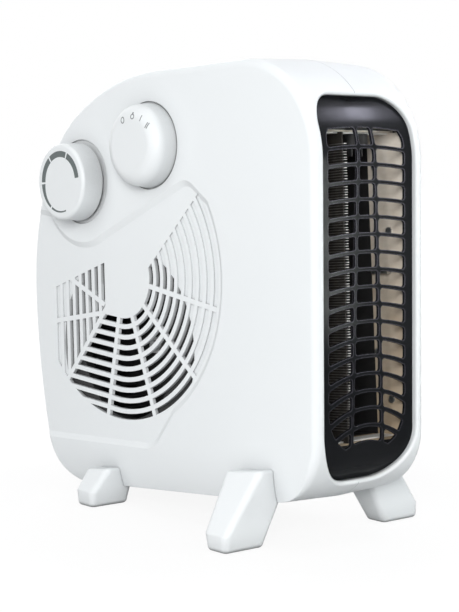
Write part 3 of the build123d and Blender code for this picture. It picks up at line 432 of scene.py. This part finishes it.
def laminations(name):
    """Edge of a stack of core sheets under a thin varnish."""
    s = Surface(name)
    sheet, joint = 0.5 * MM, 0.06 * MM
    sheets = s.math("PINGPONG", s.axis("X"), sheet / 2)
    body = s.ramp(s.noise(90.0, detail=4.0), (0.3, (0.16, 0.16, 0.175)), (0.7, (0.27, 0.265, 0.27)))
    color = s.mix(s.span(sheets, 0.0, joint, 1.0, 0.0), body, (0.03, 0.028, 0.027))
    rough = s.span(s.noise(300.0), 0.3, 0.7, 0.38, 0.55)
    return s.finish(color, rough, s.relief(sheets, 0.6, 0.2 * MM), metallic=0.85)


def winding_copper(name):
    """Enamelled copper turns that lie side by side along the coil, with painted shade in the grooves between them.
    """
    s = Surface(name)
    wire = 0.36 * MM
    turn = s.math("PINGPONG", s.axis("Y"), wire / 2)
    crown = s.span(turn, 0.0, wire / 2)
    # Painted shade: each turn darkens towards the grooves on either side and is palest on its crown.
    color = s.ramp(crown, (0.0, (0.16, 0.045, 0.015)), (0.6, (0.62, 0.24, 0.09)), (1.0, (0.78, 0.36, 0.16)))
    rough = s.span(s.noise(200.0, detail=2.0), 0.3, 0.7, 0.28, 0.38)
    return s.finish(color, rough, s.relief(turn, 0.9, 0.4 * MM), metallic=0.9, coat=0.4)


def print_ink(name, color):
    """Pad printed ink: slightly uneven cover and a soft gloss."""
    s = Surface(name)
    cover = s.noise(1800.0, rough=0.6)
    thin = tuple(part * 1.25 + 0.01 for part in color)
    rough = s.span(s.noise(900.0, detail=2.0), 0.3, 0.7, 0.34, 0.5)
    return s.finish(s.ramp(cover, (0.35, color), (0.75, thin)), rough, s.relief(cover, 0.15, 0.02 * MM))


# No roughness range crosses 0.27: below it the denoiser takes a surface for a mirror, and a range across
# it renders as sharp pale patches.
WHITE = white_plastic("white_gloss_plastic")
# The knobs get a stronger painted shade that reaches farther, so their sides darken next to the case.
WHITE_KNOB = white_plastic("white_knob_plastic", tone=0.97, gloss=0.32, edge=0.3, shade=0.42, reach=30.0)
WHITE_FOOT = white_plastic("white_foot_plastic", edge=2.2)
WHITE_BLOCK = white_plastic("white_terminal_plastic", tone=0.9, gloss=0.4, edge=0.3)
BLACK = black_plastic("black_gloss_plastic")
# Dark inner plastic: the real dark inner pieces, and the thin plate on the side of the outlet duct, a dark sheet
# put there for the shade inside the duct.
DARK = dark_plastic("dark_inner_plastic", 0.013)
MICA = mica_sheet("mica_sheet")
STEEL = metal("zinc_plated_steel", (0.52, 0.53, 0.55), (0.68, 0.68, 0.67), (0.28, 0.42))
SHEET = metal(
    "bright_strap_sheet",
    (0.80, 0.80, 0.79),
    (0.92, 0.92, 0.90),
    (0.45, 0.60),
    grain=900.0,
    stretch=(0.2, 1.0, 1.0),
    metallic=0.2,
)
WIRE = wound_wire("resistance_wire")
CARD = dark_card("dark_mica_card")
BRASS = metal("brass", (0.62, 0.43, 0.16), (0.78, 0.58, 0.27), (0.28, 0.40))
BRONZE = metal("sintered_bronze", (0.36, 0.23, 0.12), (0.52, 0.34, 0.19), (0.42, 0.60), grain=1600.0)
CORE = laminations("core_sheets")
COPPER = winding_copper("copper_winding")
INK = print_ink("grey_print", (0.105, 0.125, 0.125))
INK_PALE = print_ink("pale_grey_print", (0.17, 0.18, 0.185))

SLOT_MATERIAL = {
    "white_plastic": WHITE,
    "black_plastic": BLACK,
    "inner_plastic": DARK,
    "mica": MICA,
    "steel": STEEL,
    "core_steel": CORE,
    "wire_alloy": WIRE,
    "copper": COPPER,
    "brass": BRASS,
    "bronze": BRONZE,
}
NODE_MATERIAL = {
    "thermostat_knob": WHITE_KNOB,
    "selector_knob": WHITE_KNOB,
    "terminal_block": WHITE_BLOCK,
    "front_foot_control_side": WHITE_FOOT,
    "front_foot_far_side": WHITE_FOOT,
    "rear_foot_control_side": WHITE_FOOT,
    "rear_foot_far_side": WHITE_FOOT,
    "element_card": CARD,
    "heater_straps": SHEET,
    "thermal_cutout": DARK,
}


def dress_cad_nodes():
    """Give every CAD node its own material, or else that of its slot."""
    slots = {row["node"]: row["material_slot"] for row in frame["record"]["subparts"]}
    for name, obj in nodes.items():
        material = NODE_MATERIAL.get(name, SLOT_MATERIAL[slots[name]])
        obj.data.materials.clear()
        obj.data.materials.append(material)


# New pieces


def add_object(name, points, faces):
    mesh = bpy.data.meshes.new(name)
    mesh.from_pydata([tuple(point) for point in points], [], faces)
    obj = bpy.data.objects.new(name, mesh)
    bpy.context.scene.collection.objects.link(obj)
    return obj


def add_piece(name, points, faces, material, body, smooth=True):
    obj = add_object(name, points, faces)
    mesh = obj.data
    mesh.validate()
    mesh.update()
    mesh.polygons.foreach_set("use_smooth", [smooth] * len(mesh.polygons))
    mesh.materials.append(material)
    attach(obj, body)
    return obj


class Outer:
    """Finds the outer surface of a CAD node along the thickness axis."""

    def __init__(self, node):
        mesh = nodes[node].data
        self.tree = BVHTree.FromPolygons([v.co for v in mesh.vertices], [p.vertices for p in mesh.polygons])

    def point(self, place, depth):
        """World point (m) at a depth (mm) under the surface seen from outside at a case place (mm)."""
        start = case_point(OUTSIDE_X, *place)
        hit = self.tree.ray_cast(start, Vector((1, 0, 0)))[0]
        return hit + Vector((depth * MM, 0, 0))


def print_strips(name, node, strips, material, body):
    """Printed marks: each strip is two rows of (y, z) places, laid on a CAD node as a thin film."""
    surface = Outer(node)
    points, faces = [], []
    for left, right in strips:
        base = len(points)
        count = len(left)
        for depth in (-PRINT_PROUD, PRINT_SUNK):
            points += [surface.point(place, depth) for place in (*left, *right)]
        top_left, top_right, low_left, low_right = (base + k * count for k in range(4))
        for i in range(count - 1):
            faces.append((top_left + i, top_left + i + 1, top_right + i + 1, top_right + i))
            faces.append((low_left + i, top_left + i, top_left + i + 1, low_left + i + 1)[::-1])
            faces.append((low_right + i, top_right + i, top_right + i + 1, low_right + i + 1))
            faces.append((low_left + i, low_left + i + 1, low_right + i + 1, low_right + i)[::-1])
        for i, flip in ((0, 1), (count - 1, -1)):
            faces.append((top_left + i, top_right + i, low_right + i, low_left + i)[::flip])
    add_piece(name, points, faces, material, body, smooth=False)


def polar(centre, radius, angle):
    """Place at an angle in degrees from the top of a knob, turning towards the rear."""
    turn = math.radians(angle)
    return (centre[0] + radius * math.sin(turn), centre[1] + radius * math.cos(turn))


def between(start, end, count):
    """Numbers at even steps from a start to an end, both included."""
    return [start + (end - start) * i / count for i in range(count + 1)]


def ring_width(angle):
    """Width of the printed scale: full to the taper, then narrowing to its end."""
    if angle <= RING_TAPER_START:
        return RING_WIDE
    share = (angle - RING_TAPER_START) / (RING_END - RING_TAPER_START)
    return RING_NARROW + (RING_WIDE - RING_NARROW) * (1.0 - share) ** 2


def thermostat_scale():
    """The broken grey ring round the thermostat knob."""
    centre = case_place(joints["thermostat_turn"]["pos_m"])
    strips = []
    for start, end in RING_ARCS:
        angles = between(start, end, max(RING_FEWEST_STEPS, int((end - start) / RING_STEP)))
        outer = [polar(centre, RING_OUTER, angle) for angle in angles]
        inner = [polar(centre, RING_OUTER - ring_width(angle), angle) for angle in angles]
        strips.append((outer, inner))
    print_strips("thermostat_scale", "thermostat_knob", strips, INK, "thermostat_control")


def stroke(points, width, closed=False):
    """Two rows of places on either side of a line of places."""
    left, right = [], []
    count = len(points)
    for i, (y, z) in enumerate(points):
        if closed:
            before, after = points[i - 1], points[(i + 1) % count]
        else:
            before, after = points[max(i - 1, 0)], points[min(i + 1, count - 1)]
        dy, dz = after[0] - before[0], after[1] - before[1]
        size = math.hypot(dy, dz)
        ny, nz = -dz / size * width / 2, dy / size * width / 2
        left.append((y + ny, z + nz))
        right.append((y - ny, z - nz))
    if closed:
        left.append(left[0])
        right.append(right[0])
    return left, right


def selector_marks():
    """Generic marks on the selector: off ring, fan, one bar and two bars."""
    knob = case_place(joints["selector_turn"]["pos_m"])

    def local(mark, across, up):
        """Place at an offset from a mark's middle, which leans with its angle on the knob."""
        angle, radius = mark
        centre = polar(knob, radius, angle)
        turn = math.radians(angle * MARK_LEAN)
        return (
            centre[0] - across * math.cos(turn) + up * math.sin(turn),
            centre[1] + across * math.sin(turn) + up * math.cos(turn),
        )

    def loop(mark, half, lift=0.0):
        turns = [i * math.tau / LOOP_STEPS for i in range(LOOP_STEPS)]
        oval = [local(mark, half[0] * math.cos(a), lift + half[1] * math.sin(a)) for a in turns]
        return stroke(oval, MARK_STROKE, closed=True)

    def bar(mark, low, high, width, across=0.0):
        start, end = local(mark, across, low), local(mark, across, high)
        rows = zip(between(start[0], end[0], LINE_STEPS), between(start[1], end[1], LINE_STEPS))
        return stroke(list(rows), width)

    half = MARK_HEIGHT / 2
    strips = [
        loop(OFF_MARK, OFF_HALF),
        loop(FAN_MARK, FAN_HALF, FAN_DROP),
        bar(FAN_MARK, *FAN_STEM, FAN_STEM_WIDTH),
        bar(LOW_MARK, -half, half, MARK_STROKE),
        bar(HIGH_MARK, -half, half, MARK_STROKE, -HIGH_BAR_OFFSET),
        bar(HIGH_MARK, -half, half, MARK_STROKE, HIGH_BAR_OFFSET),
    ]
    print_strips("selector_marks", "selector_knob", strips, INK_PALE, "selector_control")


def tube(name, path, radius, sides, material, body):
    """Round wire along a line of world points, closed at both ends."""
    points, faces = [], []
    normal = None
    for i, centre in enumerate(path):
        before, after = path[max(i - 1, 0)], path[min(i + 1, len(path) - 1)]
        forward = (after - before).normalized()
        if normal is None:
            normal = forward.orthogonal().normalized()
        else:
            normal = (normal - forward * normal.dot(forward)).normalized()
        side = forward.cross(normal)
        for k in range(sides):
            turn = math.tau * k / sides
            points.append(centre + (normal * math.cos(turn) + side * math.sin(turn)) * radius)
    for i in range(len(path) - 1):
        for k in range(sides):
            a, b = i * sides + k, i * sides + (k + 1) % sides
            faces.append((a, b, b + sides, a + sides))
    faces.append(tuple(reversed(range(sides))))
    last = (len(path) - 1) * sides
    faces.append(tuple(last + k for k in range(sides)))
    return add_piece(name, points, faces, material, body)


def winding_turn(reach):
    """Places (x, y, share of the pitch climbed) of one turn round the card, with this reach at its front.

    It runs forward along one side of the card, round the front edge, back along the other side and round
    the rear edge.
    """
    rear = CARD_FRONT_Y + CARD_DEPTH
    places = []
    for step in range(SIDE_STEPS):
        share = step / SIDE_STEPS
        places.append((-WINDING_STANDOFF, rear - CARD_DEPTH * share, SIDE_RISE * share))
    for step in range(FRONT_STEPS + 1):
        share = step / FRONT_STEPS
        x, out = -WINDING_STANDOFF * math.cos(math.pi * share), reach * math.sin(math.pi * share)
        places.append((x, CARD_FRONT_Y - out, SIDE_RISE + BEND_RISE * share))
    for step in range(1, SIDE_STEPS + 1):
        share = step / SIDE_STEPS
        rise = SIDE_RISE * (1 + share) + BEND_RISE
        places.append((WINDING_STANDOFF, CARD_FRONT_Y + CARD_DEPTH * share, rise))
    for step in range(1, REAR_STEPS):
        share = step / REAR_STEPS
        x, out = WINDING_STANDOFF * math.cos(math.pi * share), WINDING_STANDOFF * math.sin(math.pi * share)
        places.append((x, rear + out, SIDE_RISE * 2 + BEND_RISE * (1 + share)))
    return places


def fine_winding():
    """The close winding of the heating card: one wire, one turn every pitch, a little uneven."""
    rng = random.Random(WINDING_SEED)
    turns = int((WINDING_HIGH_Z - WINDING_LOW_Z) / WINDING_PITCH)
    path = []
    for turn in range(turns):
        low = WINDING_LOW_Z + turn * WINDING_PITCH
        reach = WINDING_BEND + rng.uniform(BULGE_LEAST, BULGE_MOST)
        sway = rng.uniform(-SWAY, SWAY)
        for x, y, share in winding_turn(reach):
            nearness = max(0.0, min(1.0, (CARD_FRONT_Y + SWAY_DEPTH - y) / SWAY_DEPTH))
            path.append(case_point(CARD_X + x, y, low + share * WINDING_PITCH + sway * nearness))
    obj = tube("fine_winding", path, WIRE_RADIUS * MM, WIRE_SIDES, WIRE, "case")
    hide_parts("heating_wire")


# Stage, light and camera


def floor():
    """A plain pale floor that the camera sees as a white ground with the object's soft shadow."""
    size = FLOOR_HALF
    corners = [(-size, -size, 0), (size, -size, 0), (size, size, 0), (-size, size, 0)]
    obj = add_object("floor", corners, [(0, 1, 2, 3)])
    s = Surface("pale_floor")
    low, high = (toned(tint, PLAIN_WHITE) for tint in FLOOR_TINTS)
    s.finish(s.ramp(s.noise(3.0), (0.3, low), (0.7, high)), FLOOR_ROUGHNESS)
    glow = s.light("ShaderNodeEmission", PLAIN_WHITE, FLOOR_GLOW)
    seen = s.add("ShaderNodeLightPath").outputs["Is Camera Ray"]
    share = s.math("MULTIPLY", seen, s.span(s.distance(), *GLOW_DISTANCES, *GLOW_SHARES))
    s.feed(s.out.inputs["Surface"], s.mix_shaders(share, s.shader.outputs[0], glow))
    obj.data.materials.append(s.material)


def world_light():
    """Soft light from all round, and a plain white that the camera, glass and gloss see."""
    world = bpy.data.worlds.new("soft_studio")
    bpy.context.scene.world = world
    world.use_nodes = True
    n = ShaderTree(world.node_tree)
    ambient = n.light("ShaderNodeBackground", AMBIENT_COLOR, AMBIENT_STRENGTH)
    white = n.light("ShaderNodeBackground", PLAIN_WHITE, 1.0)
    path = n.add("ShaderNodeLightPath").outputs
    seen = n.math("MAXIMUM", path["Is Camera Ray"], path["Is Transmission Ray"])
    seen = n.math("MAXIMUM", seen, path["Is Glossy Ray"])
    n.feed(n.add("ShaderNodeOutputWorld").inputs["Surface"], n.mix_shaders(seen, ambient, white))


def placed(name, data, place, right, back):
    """A lamp or camera at a place, with its right side and its back turned these ways."""
    obj = bpy.data.objects.new(name, data)
    turn = Matrix((right, back.cross(right), back)).transposed().to_4x4()
    obj.matrix_world = Matrix.Translation(place) @ turn
    bpy.context.scene.collection.objects.link(obj)
    return obj


def lamp(name, place, aim, size, power, color=PLAIN_WHITE, tall=(0.0, 0.0, 1.0)):
    """A square or oblong lamp that faces an aim, its second side along the tall direction."""
    data = bpy.data.lights.new(name, "AREA")
    data.shape = "RECTANGLE"
    data.size, data.size_y = size
    data.energy = power
    data.color = color
    back = (Vector(place) - Vector(aim)).normalized()
    placed(name, data, place, Vector(tall).cross(back).normalized(), back)


def lamps():
    """Four soft lamps round the object, a key lamp, and two small ones for the glints on the front."""
    lamp("top_soft", (0.25, -0.1, 1.5), OBJECT_MIDDLE, (0.8, 1.4), 5.0)
    lamp("side_soft", (-1.5, 0.35, 0.7), OBJECT_MIDDLE, (1.2, 1.2), 3.4)
    lamp("front_soft", (0.7, -1.5, 0.35), OBJECT_MIDDLE, (1.0, 1.0), 0.4)
    lamp("back_soft", (0.5, 1.5, 0.6), OBJECT_MIDDLE, (1.2, 1.2), 6.0)
    lamp("key_soft", (-1.05, -0.95, 0.55), (0.02, -0.06, 0.14), (0.4, 0.5), 13.7)
    lamp(
        "panel_glint",
        (0.176, -0.190, 0.385),
        (-0.002, -0.112, 0.233),
        (0.02, 0.06),
        0.15,
        color=(0.84, 0.84, 1.0),
        tall=(0.0, 0.83, 0.55),
    )
    lamp(
        "band_glint",
        (0.149, -0.296, 0.165),
        (-0.030, -0.121, 0.163),
        (0.012, 0.12),
        0.15,
        color=(0.93, 1.0, 0.96),
    )


def camera():
    """The camera at the photograph's place, direction and focal length."""
    data = bpy.data.cameras.new("camera")
    data.lens = CAMERA_LENS
    data.sensor_width = CAMERA_SENSOR
    data.clip_start, data.clip_end = CAMERA_CLIP
    back = Vector(CAMERA_BACK).normalized()
    right = Vector(CAMERA_RIGHT)
    right = (right - back * right.dot(back)).normalized()
    bpy.context.scene.camera = placed("camera", data, CAMERA_PLACE, right, back)


dress_cad_nodes()
thermostat_scale()
selector_marks()
fine_winding()
floor()
world_light()
lamps()
camera()
bpy.context.scene.view_settings.view_transform = "Standard"
